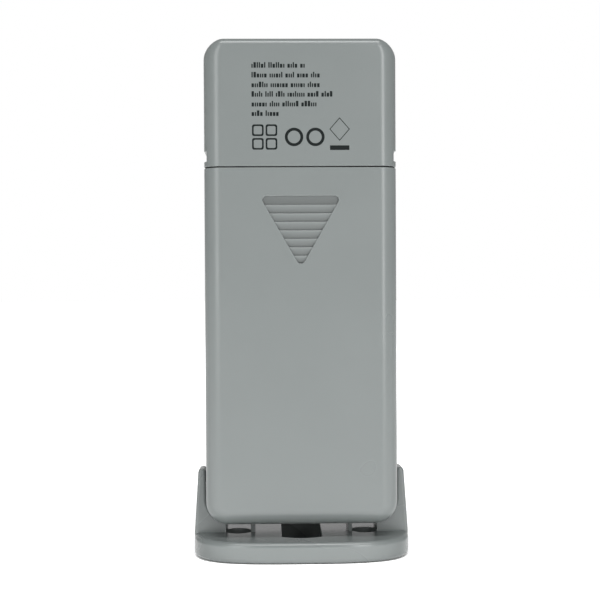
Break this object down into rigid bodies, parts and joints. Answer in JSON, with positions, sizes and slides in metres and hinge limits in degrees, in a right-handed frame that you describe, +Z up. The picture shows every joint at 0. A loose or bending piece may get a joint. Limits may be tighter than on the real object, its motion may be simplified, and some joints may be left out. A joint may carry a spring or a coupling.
{
  "type": "outdoor temperature and humidity transmitter with cradle stand",
  "caption": "Small upright wireless weather sensor in a grey plastic case with a sliding battery cover, standing in a snap-in oval cradle stand.",
  "frame": {"origin": "on the table, under the middle of the stand's base", "axes": "+Z up, -Y towards the back with the battery cover, +Y towards the front with the vents, X across"},
  "size_m": [0.0456, 0.0306, 0.1078],
  "materials": {
    "stand_plastic": "fine-textured grey ABS, slightly glossy on the base's top",
    "case_plastic": "fine-textured grey ABS",
    "cover_plastic": "fine-textured grey ABS",
    "board": "green solder mask",
    "black_plastic": "moulded black",
    "white_plastic": "moulded white",
    "clear_plastic": "clear acrylic light guide",
    "red_lens": "tinted epoxy",
    "contact_metal": "nickel-plated spring steel",
    "screw_steel": "bright zinc plate",
    "antenna_copper": "bare copper wire",
    "cell_jacket": null
  },
  "bodies": {
    "stand": {"stand": "stand_plastic"},
    "transmitter": {"front_case": "case_plastic", "rear_case": "case_plastic", "circuit_board": "board", "humidity_sensor": "white_plastic", "controller_chip": "black_plastic", "radio_module": "board", "crystal_can": "screw_steel", "antenna_coil": "antenna_copper", "status_led": "red_lens", "led_lens": "clear_plastic", "tx_switch_body": "black_plastic", "channel_switch_body": "black_plastic", "positive_contact": "contact_metal", "negative_contact": "contact_metal", "negative_contact_spring": "contact_metal", "bridge_contact": "contact_metal", "bridge_contact_spring": "contact_metal", "battery_cell_left": "cell_jacket", "battery_cell_right": "cell_jacket", "case_screw_1": "screw_steel", "case_screw_2": "screw_steel", "case_screw_3": "screw_steel", "case_screw_4": "screw_steel", "board_screw_1": "screw_steel", "board_screw_2": "screw_steel"},
    "cover": {"battery_cover": "cover_plastic"},
    "transmit_button": {"tx_button": "white_plastic"},
    "channel_knob": {"channel_switch_knob": "white_plastic"}
  },
  "joints": [
    {"name": "transmitter_lift", "type": "slide", "parent": "stand", "child": "transmitter", "axis": [0, 0, 1], "range_m": [0, 0.03]},
    {"name": "cover_slide", "type": "slide", "parent": "transmitter", "child": "cover", "axis": [0, 0, -1], "range_m": [0, 0.0018]},
    {"name": "transmit_button_press", "type": "slide", "parent": "transmitter", "child": "transmit_button", "axis": [0, 1, 0], "range_m": [0, 0.0005], "stiffness_N_per_m": 500},
    {"name": "channel_slide", "type": "slide", "parent": "transmitter", "child": "channel_knob", "axis": [1, 0, 0], "range_m": [-0.002, 0.002]}
  ]
}
